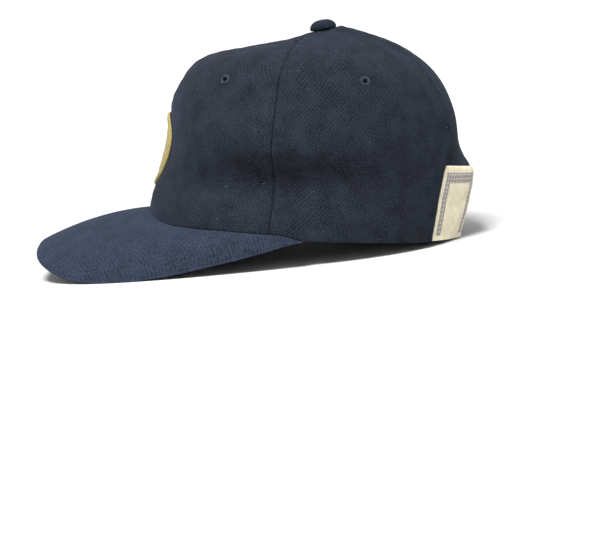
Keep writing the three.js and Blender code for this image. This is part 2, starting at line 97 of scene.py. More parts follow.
# Steps in turn and level for the slope of the crown, before and after its dents
SMOOTH_STEPS = (1, 0.01)
CROWN_STEPS = (0.8, 0.006)

# Highest levels for looking up a slope, a seam's gap and a height, and the levels near the apex
HIGHEST_SLOPE = 0.97
HIGHEST_GAP = 0.98
HIGHEST_SIDE = 0.9
TOP_LEVELS = (0.5, 0.999)


def table(columns, rows):
    """A list of rows under named columns, each column as an array."""
    return {name: np.array([row[i] for row in rows], float) for i, name in enumerate(columns)}


# Crown profiles and seams in even levels from the rim to the apex: reach is the share of the way
# from the apex out to the rim, rise the share of the crown height, and seam the turn of a seam
PROFILE = table(
    (
        "front_reach", "front_rise", "side_reach", "side_rise", "back_reach", "back_rise",
        "side_seam", "rear_seam",
    ),
    (
        (1.000, 0.000, 1.000, 0.000, 0.985, -0.026, 78.5, 141.5),
        (0.992, 0.078, 0.992, 0.086, 0.980, 0.060, 78.5, 142.9),
        (0.974, 0.148, 0.976, 0.172, 0.975, 0.152, 78.4, 144.4),
        (0.949, 0.211, 0.962, 0.258, 0.970, 0.244, 78.2, 146.1),
        (0.920, 0.297, 0.950, 0.344, 0.966, 0.328, 78.0, 148.4),
        (0.893, 0.398, 0.938, 0.430, 0.960, 0.398, 77.8, 153.0),
        (0.886, 0.484, 0.918, 0.516, 0.943, 0.484, 77.6, 158.0),
        (0.892, 0.563, 0.883, 0.602, 0.926, 0.566, 77.3, 160.0),
        (0.880, 0.629, 0.838, 0.684, 0.885, 0.645, 76.9, 160.8),
        (0.845, 0.684, 0.790, 0.758, 0.833, 0.724, 76.3, 160.5),
        (0.797, 0.758, 0.715, 0.828, 0.762, 0.801, 75.6, 160.0),
        (0.742, 0.809, 0.585, 0.882, 0.662, 0.869, 74.3, 160.2),
        (0.637, 0.852, 0.450, 0.917, 0.548, 0.917, 71.0, 160.5),
        (0.480, 0.881, 0.310, 0.942, 0.420, 0.951, 65.5, 161.0),
        (0.327, 0.899, 0.190, 0.962, 0.273, 0.980, 60.0, 161.5),
        (0.178, 0.937, 0.100, 0.977, 0.165, 1.000, 54.0, 162.0),
        (0.075, 0.974, 0.050, 0.986, 0.070, 1.002, 50.0, 162.0),
        (0.000, 0.990, 0.000, 0.990, 0.000, 0.990, 50.0, 162.0),
    ),
)

# The back swells out over the label: extra reach at each share of the crown height
SWELL = table(
    ("rise", "reach"),
    (
        (0.00, 0.011), (0.08, 0.038), (0.16, 0.062), (0.24, 0.078), (0.30, 0.083),
        (0.34, 0.062), (0.38, 0.028), (0.42, 0.008), (0.46, 0.000), (1.10, 0.000),
    ),
)
SWELL_START_TURN = 135
SWELL_FULL_TURN = 172

# How slowly the front profile gives way to the side's
FRONT_SPREAD = 1.3

# Dents: width and depth are shares of the rim's length, height and tallness of the crown height. A
# depth below zero is a bulge.
DENTS = table(
    ("turn", "height", "width", "tallness", "depth"),
    (
        (82, 0.28, 0.190, 0.100, 0.033),
        (82, 0.16, 0.200, 0.140, 0.021),
        (80, 0.45, 0.240, 0.120, -0.014),
        (52, 0.24, 0.130, 0.100, 0.020),
        (131, 0.34, 0.080, 0.160, 0.010),
        (-84, 0.30, 0.200, 0.120, 0.012),
        (-130, 0.36, 0.090, 0.150, 0.008),
    ),
)

# Outer edge of the peak as a share of its drop, inner edge as a share of its lift, every 15 degrees
PEAK_EDGE = table(
    ("outer_drop", "inner_lift"),
    (
        (0.58, 0.95), (0.80, 0.62), (0.98, 0.25), (1.00, 0.28),
        (0.78, 0.38), (0.40, 0.37), (0.00, 0.35),
    ),
)

APEX = np.array([0.0, APEX_SETBACK])


def through(values, x):
    """Smooth curve through evenly spaced values, with x from 0 to 1."""
    spans = len(values) - 1
    place = np.clip(x, 0, 1) * spans
    index = np.minimum(np.floor(place).astype(int), spans - 1)
    a, b, c, d = (values[np.clip(index + step, 0, spans)] for step in (-1, 0, 1, 2))
    u = place - index
    square = 2 * a - 5 * b + 4 * c - d
    cube = 3 * b - a - 3 * c + d
    return 0.5 * (2 * b + (c - a) * u + square * u**2 + cube * u**3)


def smoothly(values, x):
    """Rounder curve near evenly spaced values, through the first and last, with x from 0 to 1."""
    spans = len(values) - 1
    ahead = 2 * values[0] - values[1]
    after = 2 * values[-1] - values[-2]
    padded = np.concatenate([[ahead], values, [after]])
    place = np.clip(x, 0, 1) * spans
    index = np.minimum(np.floor(place).astype(int), spans - 1)
    a, b, c, d = (padded[index + step] for step in range(4))
    u = place - index
    square = 3 * (a - 2 * b + c)
    cube = d - 3 * c + 3 * b - a
    return (a + 4 * b + c + 3 * (c - a) * u + square * u**2 + cube * u**3) / 6


def smoothstep(x, low, high):
    share = np.clip((x - low) / (high - low), 0, 1)
    return share * share * (3 - 2 * share)


def hump(x, place, width):
    """A soft hump of height 1, at its place."""
    return np.exp(-(((x - place) / width) ** 2))


SOLVE_STEPS = 30


def solve(rising, target, low, high):
    """The places between low and high where a rising function passes each target."""
    target = np.asarray(target, float)
    low = np.full(target.shape, float(low))
    high = np.full(target.shape, float(high))
    for _ in range(SOLVE_STEPS):
        middle = (low + high) / 2
        below = rising(middle) < target
        low = np.where(below, middle, low)
        high = np.where(below, high, middle)
    return (low + high) / 2


def bearing_of(turn):
    """Bearing from the front centre, -180 to 180, for any turn."""
    return turn - 360 * np.round(turn / 360)


def rim_point(turn):
    angle = np.radians(turn)
    return np.stack([RIM_WIDTH / 2 * np.sin(angle), -RIM_LENGTH / 2 * np.cos(angle)], -1)


def smooth_crown(turn, level):
    """The crown's outer surface before its dents."""
    turn, level = np.broadcast_arrays(turn, level)
    bearing = np.abs(bearing_of(turn))
    side_seam = PROFILE["side_seam"][0]
    forward = np.minimum(bearing / side_seam, 1) ** FRONT_SPREAD
    backward = np.maximum((bearing - side_seam) / (180 - side_seam), 0)
    front = np.cos(np.pi / 2 * forward) ** 2
    back = np.sin(np.pi / 2 * backward) ** 2
    shares = {"front": front, "side": 1 - front - back, "back": back}
    rise = sum(share * smoothly(PROFILE[name + "_rise"], level) for name, share in shares.items())
    reach = sum(share * smoothly(PROFILE[name + "_reach"], level) for name, share in shares.items())
    swelling = smoothstep(bearing, SWELL_START_TURN, SWELL_FULL_TURN)
    reach = reach + swelling * np.interp(rise, SWELL["rise"], SWELL["reach"])
    plan = APEX + (rim_point(turn) - APEX) * reach[..., None]
    return np.concatenate([plan, (rise * CROWN_HEIGHT)[..., None]], -1)


def stacked(*parts):
    """Coordinates as one array, each spread to the shape of the others."""
    return np.stack(np.broadcast_arrays(*parts), -1)


def around(sides):
    """Angles round a full circle, as a column."""
    return np.linspace(0, 2 * np.pi, sides, endpoint=False)[:, None]


def unit(vectors):
    return vectors / np.maximum(np.linalg.norm(vectors, axis=-1, keepdims=True), 1e-12)


def normal_of(surface, u, v, steps):
    """Unit normal of a surface given by two parameters, from small steps either side."""
    step_u, step_v = steps
    along_u = surface(u + step_u, v) - surface(u - step_u, v)
    along_v = surface(u, np.minimum(v + step_v, 1)) - surface(u, np.maximum(v - step_v, 0))
    return unit(np.cross(along_u, along_v))


def dent_depth(point):
    bearing = np.degrees(np.arctan2(point[..., 0] / RIM_WIDTH, -point[..., 1] / RIM_LENGTH))
    depth = 0
    for turn, height, width, tallness, deep in zip(*DENTS.values()):
        across = np.radians(bearing_of(bearing - turn)) * RIM_WIDTH / 2 / (width * RIM_LENGTH)
        up = (point[..., 2] / CROWN_HEIGHT - height) / tallness
        depth = depth + deep * RIM_LENGTH * np.exp(-(across**2) - up**2)
    return depth


def crown_surface(turn, level):
    """The crown's outer surface, with its dents."""
    point = smooth_crown(turn, level)
    outward = normal_of(smooth_crown, turn, np.minimum(level, HIGHEST_SLOPE), SMOOTH_STEPS)
    return point - outward * dent_depth(point)[..., None]


def crown_normal(turn, level):
    return normal_of(crown_surface, turn, level, CROWN_STEPS)


def crown_offset(turn, level, offset):
    """A point off the crown's outer surface, outwards."""
    return crown_surface(turn, level) + crown_normal(turn, level) * np.asarray(offset)[..., None]


def apex_distance(turn, level):
    return np.linalg.norm(crown_surface(turn, level)[..., :2] - APEX, axis=-1)


def level_at_height(turn, height):
    return solve(lambda level: crown_surface(turn, level)[..., 2], height, 0, HIGHEST_SIDE)


def level_at_distance(turn, distance):
    target = np.full(np.shape(turn), -distance)
    return solve(lambda level: -apex_distance(turn, level), target, *TOP_LEVELS)


def side_seam(level):
    return through(PROFILE["side_seam"], level)


def rear_seam(level):
    return through(PROFILE["rear_seam"], level)


def half_gap(turn, level):
    """Half the opening between two sewn edges, as an angle round the apex."""
    return np.degrees(SEAM_SEAT / apex_distance(turn, np.minimum(level, HIGHEST_GAP)))


def peak_taper(bearing):
    """The two ends of the peak thin out and sink to the rim."""
    return smoothstep(np.abs(bearing), PEAK_TAPER_TURN, PEAK_END_TURN)


def peak_top_at_rim(bearing):
    lift = PEAK_LIFT * through(PEAK_EDGE["inner_lift"], np.abs(bearing) / 90)
    return lift * (1 - peak_taper(bearing))


def peak_thickness(bearing):
    return PEAK_THICKNESS + (PEAK_END_THICKNESS - PEAK_THICKNESS) * peak_taper(bearing)


def rim_height(turn):
    return crown_surface(turn, np.zeros_like(turn))[..., 2]


def hem_height(turn):
    """Height of the crown's lower edge, on the peak in front and at the rim behind it."""
    bearing = np.abs(bearing_of(turn))
    on_peak = peak_top_at_rim(np.minimum(bearing, PEAK_END_TURN)) + HEM_SEAT
    step = np.clip((bearing - PEAK_END_TURN) / HEM_STEP, 0, 1)
    return on_peak + (rim_height(turn) - on_peak) * step


def peak_point(bearing, share):
    """The peak's upper face. Shares below zero are millimetres tucked inside the rim."""
    bearing, share = np.broadcast_arrays(bearing, share)
    inner = rim_point(bearing / 90 * PEAK_END_TURN)
    end_y = rim_point(PEAK_END_TURN)[1]
    across = np.abs(np.sin(np.radians(bearing)))
    along = np.cos(np.radians(bearing))
    outer_x = np.sign(bearing) * PEAK_WIDTH / 2 * across**PEAK_OUTLINE_POWER
    outer_y = end_y - (RIM_LENGTH / 2 + end_y + PEAK_LENGTH) * along
    low = -PEAK_DROP * through(PEAK_EDGE["outer_drop"], np.abs(bearing) / 90)
    high = peak_top_at_rim(bearing)
    tucked = inner + unit(inner) * np.minimum(share, 0)[..., None]
    shown = np.maximum(share, 0)
    plan = tucked + (stacked(outer_x, outer_y) - inner) * shown[..., None]
    camber = PEAK_CAMBER * 4 * shown * (1 - shown) * along
    return np.concatenate([plan, (high + (low - high) * shown + camber)[..., None]], -1)


# Where the underside of the peak and the back of the rim are tried for the lowest point
REST_BEARINGS = np.arange(0, 91, 2.0)[:, None]
REST_SHARES = np.array([-PEAK_TUCK, 0, 0.08, 0.25, 0.45, 0.65, 0.85, 0.97, 1])
REST_BACK_TURNS = np.arange(140, 181, 4.0)
STEEPEST_PITCH = math.radians(20)


def rest_pose():
    """The pitch and lift that put the sides of the peak and the back of the rim on one plane."""
    underside = peak_point(REST_BEARINGS, REST_SHARES)
    below = np.where(REST_SHARES == 1, 1 - PEAK_EDGE_ROUNDING, 1)
    underside[..., 2] -= peak_thickness(REST_BEARINGS) * below
    back_rim = crown_offset(REST_BACK_TURNS, 0.0, -WALL - LAP_GAP)

    def lowest(points, pitch):
        return np.min(points[..., 2] * np.cos(pitch) - points[..., 1] * np.sin(pitch))

    pitch = float(solve(lambda p: lowest(underside, p) - lowest(back_rim, p), 0, 0, STEEPEST_PITCH))
    return pitch, -lowest(back_rim, pitch) - REST_SINK


REST_PITCH, REST_LIFT = rest_pose()


def turned(points, angle):
    """Points or directions turned about the X axis."""
    x, y, z = np.moveaxis(np.asarray(points, float), -1, 0)
    cosine = math.cos(angle)
    sine = math.sin(angle)
    return np.stack([x, y * cosine - z * sine, z * cosine + y * sine], -1)


def pitched(points):
    """Points or directions of the cap's own frame, pitched as the cap rests."""
    return turned(points, -REST_PITCH)


# The solids' frame has its origin under the middle of the cap, so the peak's tip sets the shift
PEAK_TIP = pitched(peak_point(0, 1) - np.array([0, 0, PEAK_THICKNESS * PEAK_EDGE_ROUNDING]))
REST_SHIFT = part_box("brim")[0].y / MM - PEAK_TIP[1]


def at_rest(points):
    """Points of the cap's own frame in the rest pose, with cloth below the floor pressed flat."""
    placed = pitched(points) + np.array([0, REST_SHIFT, REST_LIFT])
    placed[..., 2] = np.maximum(placed[..., 2], 0)
    return placed


# Meshes


def smooth_object(name, points, faces, material):
    """A smooth mesh in the scene, from points in metres."""
    mesh = bpy.data.meshes.new(name)
    mesh.from_pydata(np.reshape(points, (-1, 3)).tolist(), [], faces)
    mesh.polygons.foreach_set("use_smooth", np.ones(len(mesh.polygons), bool))
    mesh.materials.append(material)
    made = bpy.data.objects.new(name, mesh)
    bpy.context.scene.collection.objects.link(made)
    return made


def make_piece(name, points, faces, material, nodes, uv=None):
    """A closed mesh from points in the cap's frame, riding on the cap and standing for nodes."""
    piece = smooth_object(name, at_rest(points) * MM, faces, material)
    mesh = piece.data
    if uv is not None:
        layer = mesh.uv_layers.new(name="cloth")
        corners = np.zeros(len(mesh.loops), int)
        mesh.loops.foreach_get("vertex_index", corners)
        layer.data.foreach_set("uv", np.reshape(uv, (-1, 2))[corners].ravel())
    work = bmesh.new()
    work.from_mesh(mesh)
    bmesh.ops.recalc_face_normals(work, faces=work.faces)
    work.to_mesh(mesh)
    work.free()
    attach(piece, "root")
    if nodes:
        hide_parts(*nodes)
    return piece


def numbered(points):
    """Vertex numbers in the shape of a grid of points."""
    return np.arange(points[..., 0].size).reshape(points.shape[:-1])


def strip_faces(index, wrap_rows=False, wrap_columns=False, keep=...):
    """Quads of a grid of vertex numbers, joined up round either way."""
    if wrap_columns:
        index = np.concatenate([index, index[:1]], 0)
    if wrap_rows:
        index = np.concatenate([index, index[:, :1]], 1)
    quads = np.stack([index[:-1, :-1], index[1:, :-1], index[1:, 1:], index[:-1, 1:]], -1)
    return quads[keep].reshape(-1, 4).tolist()


def fan(ring, tip):
    """Triangles from a closed ring of vertex numbers to one more vertex."""
    return [[tip, first, second] for first, second in zip(ring, np.roll(ring, -1))]


def end_caps(index):
    """Quads that close the first and last columns of loops of vertex numbers."""
    faces = []
    for end in (index[0], index[-1]):
        partner = end[::-1]
        half = len(end) // 2
        faces += [[end[k], end[k + 1], partner[k + 1], partner[k]] for k in range(half - 1)]
    return faces


HEM_ARC_POINTS = 6


def shell_from(outer, inner, uv, hole=None):
    """Points, faces and uv of a cloth shell with a rounded lower edge. Columns run round, rows up."""
    middle = (outer[:, 0] + inner[:, 0]) / 2
    out = (outer[:, 0] - inner[:, 0]) / 2
    down = unit(outer[:, 0] - outer[:, 1]) * np.linalg.norm(out, axis=-1, keepdims=True)
    angles = np.pi * (np.arange(HEM_ARC_POINTS) + 1) / (HEM_ARC_POINTS + 1)
    arc = [middle + out * math.cos(angle) + down * math.sin(angle) for angle in angles]
    loop = np.concatenate([outer[:, ::-1], np.stack(arc, 1), inner], 1)
    flat_uv = np.concatenate([uv[:, ::-1], np.repeat(uv[:, :1], HEM_ARC_POINTS, 1), uv], 1)
    index = numbered(loop)
    columns, size = index.shape
    rows = outer.shape[1]
    keep = np.ones((columns - 1, size), bool)
    faces = []
    if hole is not None:
        keep[:, : rows - 1] = ~hole[:, ::-1]
        keep[:, size - rows : size - 1] = ~hole
        faces += hole_walls(index, hole[:, ::-1])
    faces += strip_faces(index, wrap_rows=True, keep=keep) + end_caps(index)
    return loop, faces, flat_uv


def hole_walls(index, hole):
    """Quads through the cloth round the cells that a hole takes away."""
    mirror = index[:, ::-1]
    walls = []
    columns, rows = hole.shape
    for i, j in np.argwhere(hole):
        sides = (
            (i, j - 1, (i, j), (i + 1, j)),
            (i, j + 1, (i, j + 1), (i + 1, j + 1)),
            (i - 1, j, (i, j), (i, j + 1)),
            (i + 1, j, (i + 1, j), (i + 1, j + 1)),
        )
        for other_i, other_j, a, b in sides:
            inside = 0 <= other_i < columns and 0 <= other_j < rows
            if inside and not hole[other_i, other_j]:
                walls.append([index[a], index[b], mirror[b], mirror[a]])
    return walls


# Columns of cloth lie close together in a zone beside each seam
SEAM_ZONE = 8
FINE_COLUMN = 0.5
COARSE_COLUMN = 1.25


def packed_shares(width):
    """Shares across a piece of cloth, close together beside its two edges."""
    edge = np.arange(0, SEAM_ZONE, FINE_COLUMN)
    count = max(2, round((width - 2 * SEAM_ZONE) / COARSE_COLUMN) + 1)
    middle = np.linspace(SEAM_ZONE, width - SEAM_ZONE, count)
    return np.concatenate([edge, middle, width - edge[::-1]]) / width


# Slow soft waves of the cloth: cycles round the crown and up it, phase, and height in millimetres
WAVES = table(
    ("around", "up", "phase", "height"),
    (
        (5, 1.1, 0.7, 0.30),
        (8, -1.7, 2.1, 0.22),
        (13, 2.3, 4.0, 0.14),
        (21, -3.1, 1.3, 0.08),
        (34, 4.7, 5.2, 0.05),
    ),
)


def cloth_waves(turn, level):
    """Height of the waves, which fade out towards the apex."""
    total = 0
    for cycles, up, phase, height in zip(*WAVES.values()):
        total = total + height * np.sin(np.radians(turn) * cycles + 2 * np.pi * up * level + phase)
    return total * smoothstep(1 - level, 0.05, 0.3)


# Sewn seams, by distance from the edge of the cloth
TOPSTITCH = 4.2
LAP_STITCHES = (1.8, 6.6)
STITCH_PITCH = 3.1
GROOVE_WIDTH = 0.7
GROOVE_DEPTH = 0.30

# The turned edge, the cloth raised by the allowance under it, and the puckers that the thread draws
SEAM = {"edge": 0.7, "drop": 0.8, "raised": 0.34, "raised_end": (3.6, 6.0)}
SEAM_PUCKERS = {"pitch": 8.3, "sway": 1.3, "sway_length": 11, "height": 0.11, "place": 3, "width": 3.2}
LAP = {"edge": 0.6, "drop": 0.9, "raised": 0.65, "raised_end": (5.5, 9.0)}
LAP_PUCKERS = {"pitch": 9.1, "sway": 1.7, "sway_length": 13, "height": 0.12, "place": 4, "width": 4}


def edge_roll(distance, sizes):
    return -sizes["drop"] * hump(distance, 0, sizes["edge"])


def raised(distance, sizes):
    return sizes["raised"] * (1 - smoothstep(distance, *sizes["raised_end"]))


def puckers(distance, along, sizes):
    wave = along * 2 * np.pi / sizes["pitch"] + sizes["sway"] * np.sin(along / sizes["sway_length"])
    return sizes["height"] * np.sin(wave) * hump(distance, sizes["place"], sizes["width"])


def groove(distance, place):
    return -GROOVE_DEPTH * hump(distance, place, GROOVE_WIDTH)


def seam_relief(distance, along):
    """A turned edge over its seam allowance, with a stitched groove and small puckers."""
    allowance = raised(distance, SEAM) * smoothstep(distance, 0.2, 1.2)
    sewing = groove(distance, TOPSTITCH) + puckers(distance, along, SEAM_PUCKERS)
    return edge_roll(distance, SEAM) + allowance + sewing


def lap_relief(distance, along):
    """A turned edge that lies on the cloth behind it, held by two rows of stitches."""
    grooves = sum(groove(distance, place) for place in LAP_STITCHES)
    sewing = grooves + puckers(distance, along, LAP_PUCKERS)
    return edge_roll(distance, LAP) + raised(distance, LAP) + sewing


def no_relief(distance, along):
    return np.zeros_like(distance)


# Each eyelet's turn, and its height as a share of the crown height, the same on both sides
EYELETS = {
    f"eyelet_{place}_{side}": (sign * turn, height)
    for side, sign in (("left", 1), ("right", -1))
    for place, turn, height in (("front", 49.3, 0.745), ("side", 114.3, 0.763))
}
EYELET_HOLE = 2.4


def eyelet_place(name):
    turn, height = EYELETS[name]
    level = float(level_at_height(turn, height * CROWN_HEIGHT))
    return crown_surface(turn, level), crown_normal(turn, level)


CLOTH_ROWS = 130

# Share of the relief that shows on the inside of the cloth
INSIDE_RELIEF = 0.4

# Cloth gathered up in a ridge behind the button: radius from the apex, and turns where it rises
GATHER_RADIUS = 10.5
GATHER_WIDTH = 2.6
GATHER_HEIGHT = 1.0
GATHER_TURNS = (110, 170)


def gathered(turn, radius):
    ridge = GATHER_HEIGHT * hump(radius, GATHER_RADIUS, GATHER_WIDTH)
    return ridge * smoothstep(np.abs(bearing_of(turn)), *GATHER_TURNS)


def crown_cloth(
    name, material, start, end, start_relief, end_relief, node, eyelet=None, depth=0.0, bottom=hem_height
):
    """A panel of crown cloth between two seams, given as turns by level."""
    span = end(0.0) - start(0.0)
    width = math.radians(span) * (RIM_WIDTH + RIM_LENGTH) / 4
    shares = packed_shares(width)[:, None]
    low_turn = start(0.0) + span * shares
    low = level_at_height(low_turn, bottom(low_turn) + WALL / 2)
    high = level_at_distance(low_turn, APEX_HOLE_RADIUS)
    level = low + (high - low) * np.linspace(0, 1, CLOTH_ROWS + 1)
    turn = start(level) + (end(level) - start(level)) * shares
    surface = crown_surface(turn, level)
    normal = crown_normal(turn, level)
    radius = np.linalg.norm(surface[..., :2] - APEX, axis=-1)
    across = np.radians(end(level) - start(level)) * radius
    steps = np.linalg.norm(np.diff(surface, axis=1), axis=-1)
    along = np.concatenate([np.zeros((len(shares), 1)), np.cumsum(steps, 1)], 1)
    relief = start_relief(across * shares, along) + end_relief(across * (1 - shares), along)
    relief = relief * smoothstep(radius, APEX_HOLE_RADIUS, BUTTON_DIAMETER)
    waves = cloth_waves(turn, level) + gathered(turn, radius)
    outer = surface + normal * (waves + relief - depth)[..., None]
    inner = surface + normal * (waves + relief * INSIDE_RELIEF - depth - WALL)[..., None]
    uv = np.stack([across * (shares - 0.5), along], -1)
    hole = None
    if eyelet:
        centre, _ = eyelet_place(eyelet)
        middle = (surface[:-1, :-1] + surface[1:, 1:]) / 2
        hole = np.linalg.norm(middle - centre, axis=-1) < EYELET_HOLE
    points, faces, flat_uv = shell_from(outer, inner, uv, hole)
    return make_piece(name, points, faces, material, [node], flat_uv)


# Materials

# Noise: scale, detail and roughness. The first five scales are for millimetres of the laid-out cloth,
# the others for metres.
NOISE = {
    "drift": (0.06, 1.0, 0.5),
    "wear": (0.30, 2.0, 0.7),
    "yarn": (1.0, 3.0, 0.7),
    "fuzz": (0.85, 4.0, 0.8),
    "ink": (0.8, 3.0, 0.7),
    "mottle": (90.0, 3.0, 0.6),
    "soil": (120.0, 3.0, 0.6),
    "clumps": (260.0, 3.0, 0.6),
    "twist": (900.0, 2.0, 0.5),
    "fibres": (1500.0, 4.0, 0.75),
}
SHEEN_ROUGHNESS = 0.45


class Nodes:
    """Short calls for the nodes of one material."""

    def __init__(self, name, colour, roughness, sheen=0.0, sheen_tint=(1, 1, 1), specular=0.25):
        self.material = bpy.data.materials.new(name)
        self.material.use_nodes = True
        self.tree = self.material.node_tree
        self.shader = self.tree.nodes["Principled BSDF"]
        settings = {
            "Base Color": (*colour, 1),
            "Roughness": roughness,
            "Specular IOR Level": specular,
            "Sheen Weight": sheen,
            "Sheen Roughness": SHEEN_ROUGHNESS,
            "Sheen Tint": (*sheen_tint, 1),
        }
        for socket, value in settings.items():
            self.shader.inputs[socket].default_value = value

    def put(self, socket, value):
        if isinstance(value, bpy.types.NodeSocket):
            self.tree.links.new(value, socket)
        else:
            socket.default_value = value

    def maths(self, operation, *values):
        node = self.tree.nodes.new("ShaderNodeMath")
        node.operation = operation
        for socket, value in zip(node.inputs, values):
            self.put(socket, value)
        return node.outputs[0]

    def times(self, a, b):
        return self.maths("MULTIPLY", a, b)

    def times_plus(self, a, b, c):
        return self.maths("MULTIPLY_ADD", a, b, c)

    def wave(self, place, length):
        return self.maths("SINE", self.times(place, 2 * math.pi / length))

    def uv(self):
        split = self.tree.nodes.new("ShaderNodeSeparateXYZ")
        source = self.tree.nodes.new("ShaderNodeUVMap")
        source.uv_map = "cloth"
        self.put(split.inputs[0], source.outputs[0])
        return split.outputs[0], split.outputs[1]

    def vector(self, x, y):
        node = self.tree.nodes.new("ShaderNodeCombineXYZ")
        self.put(node.inputs[0], x)
        self.put(node.inputs[1], y)
        return node.outputs[0]

    def object_place(self):
        return self.tree.nodes.new("ShaderNodeTexCoord").outputs["Object"]

    def noise(self, place, kind):
        node = self.tree.nodes.new("ShaderNodeTexNoise")
        self.put(node.inputs["Vector"], place)
        for socket, value in zip(("Scale", "Detail", "Roughness"), NOISE[kind]):
            node.inputs[socket].default_value = value
        return node.outputs[0]

    def ramp(self, value, places, colours):
        node = self.tree.nodes.new("ShaderNodeValToRGB")
        self.put(node.inputs[0], value)
        for element, place, colour in zip(node.color_ramp.elements, places, colours):
            element.position = place
            element.color = (*colour, 1)
        return node.outputs[0]

    def mix(self, share, cloth, colour):
        node = self.tree.nodes.new("ShaderNodeMix")
        node.data_type = "RGBA"
        self.put(node.inputs[0], share)
        self.put(node.inputs[6], cloth)
        self.put(node.inputs[7], (*colour, 1))
        return node.outputs[2]

    def colour(self, value):
        self.put(self.shader.inputs["Base Color"], value)

    def bump(self, height, distance):
        node = self.tree.nodes.new("ShaderNodeBump")
        node.inputs["Distance"].default_value = distance * MM
        self.put(node.inputs["Height"], height)
        self.put(self.shader.inputs["Normal"], node.outputs[0])


# Lint: a speck in some cells of a grid of this size
LINT_CELL = 7.0
LINT_RADIUS = 0.28
LINT_FREE_SHARE = 0.72
LINT_STRENGTH = 0.35
LINT_COLOUR = (0.34, 0.36, 0.40)


def lint(nodes):
    """One where a speck of lint lies on the cloth, sparsely."""
    specks = nodes.tree.nodes.new("ShaderNodeTexVoronoi")
    nodes.put(specks.inputs["Vector"], nodes.object_place())
    specks.inputs["Scale"].default_value = 1 / (LINT_CELL * MM)
    near = nodes.maths("LESS_THAN", specks.outputs["Distance"], LINT_RADIUS / LINT_CELL)
    split = nodes.tree.nodes.new("ShaderNodeSeparateColor")
    nodes.put(split.inputs[0], specks.outputs["Color"])
    chosen = nodes.maths("GREATER_THAN", split.outputs[0], LINT_FREE_SHARE)
    return nodes.times(near, chosen)


# Twill: the slanting wales, how far they drift and wear, and the share of each layer in the cloth
WALE = 1.75
WALE_DRIFT = 1.4
WALE_CONTRAST = 0.8
YARN_CYCLES = (1.1, 2.0)
YARN_SHARE = 0.42
FUZZ_SHARE = 0.58
MOTTLE_SHARE = 0.16
TWILL_TONES = (0.41, 0.59)
TWILL_DEPTH = 0.45
TWILL_SHEEN = (0.55, 0.68, 1.0)


def twill(name, dark, light, lean, rib=0.075, sheen=0.04):
    """Wool twill: slanting wales broken into yarns, mottled, with a soft nap and a little lint."""
    nodes = Nodes(name, light, 0.95, sheen, TWILL_SHEEN, specular=0.04)
    u, v = nodes.uv()
    place = nodes.vector(u, v)
    cosine = math.cos(math.radians(lean))
    sine = math.sin(math.radians(lean))
    along = nodes.maths("ADD", nodes.times(u, cosine), nodes.times(v, sine))
    across = nodes.maths("SUBTRACT", nodes.times(v, cosine), nodes.times(u, sine))
    across = nodes.times_plus(nodes.noise(place, "drift"), WALE_DRIFT, across)
    worn = nodes.times(nodes.wave(across, WALE), nodes.noise(place, "wear"))
    ridge = nodes.times_plus(worn, WALE_CONTRAST, 0.5)
    yarn_place = nodes.vector(nodes.times(along, YARN_CYCLES[0]), nodes.times(across, YARN_CYCLES[1]))
    yarn = nodes.noise(yarn_place, "yarn")
    height = nodes.times_plus(ridge, rib, nodes.times(yarn, YARN_SHARE))
    height = nodes.times_plus(nodes.noise(place, "fuzz"), FUZZ_SHARE - rib, height)
    mottle = nodes.noise(nodes.object_place(), "mottle")
    tone = nodes.times_plus(mottle, MOTTLE_SHARE, nodes.times(height, 1 - MOTTLE_SHARE))
    cloth = nodes.ramp(tone, TWILL_TONES, (dark, light))
    nodes.colour(nodes.mix(nodes.times(lint(nodes), LINT_STRENGTH), cloth, LINT_COLOUR))
    nodes.bump(height, TWILL_DEPTH)
    return nodes.material


def thread(name, dark, light):
    """Twisted sewing thread."""
    nodes = Nodes(name, light, 0.8, 0.03, specular=0.06)
    twist = nodes.noise(nodes.object_place(), "twist")
    nodes.colour(nodes.ramp(twist, (0.3, 0.7), (dark, light)))
    nodes.bump(twist, 0.12)
    return nodes.material


def felt(name, dark, light):
    """Pressed felt, matted in short tangled fibres."""
    nodes = Nodes(name, light, 0.95, 0.1, (1.0, 0.95, 0.8), specular=0.1)
    place = nodes.object_place()
    fibres = nodes.times(nodes.noise(place, "fibres"), 0.5)
    clumps = nodes.times(nodes.noise(place, "clumps"), 0.5)
    tone = nodes.maths("ADD", fibres, clumps)
    nodes.colour(nodes.ramp(tone, (0.34, 0.66), (dark, light)))
    nodes.bump(tone, 0.35)
    return nodes.material


# The label's bands, as limits across and up it, and its lozenges
LEFT_BAND = (2.6, 7.2)
RIGHT_BAND = (LABEL_WIDTH - 9.5, LABEL_WIDTH - 4.5)
TOP_BAND = (LABEL_HEIGHT - 11.5, LABEL_HEIGHT - 4.5)
BANDS_BOTTOM = 2.5
LOZENGE_PITCH = 2.6
LOZENGE_REACH = 0.85
LABEL_RIB = 0.42
LABEL_THREAD = 0.5
LABEL_CREAM = (0.78, 0.72, 0.54)
LABEL_GROUND = ((0.49, 0.445, 0.31), (0.64, 0.60, 0.455))
LABEL_LILAC = (0.115, 0.110, 0.145)


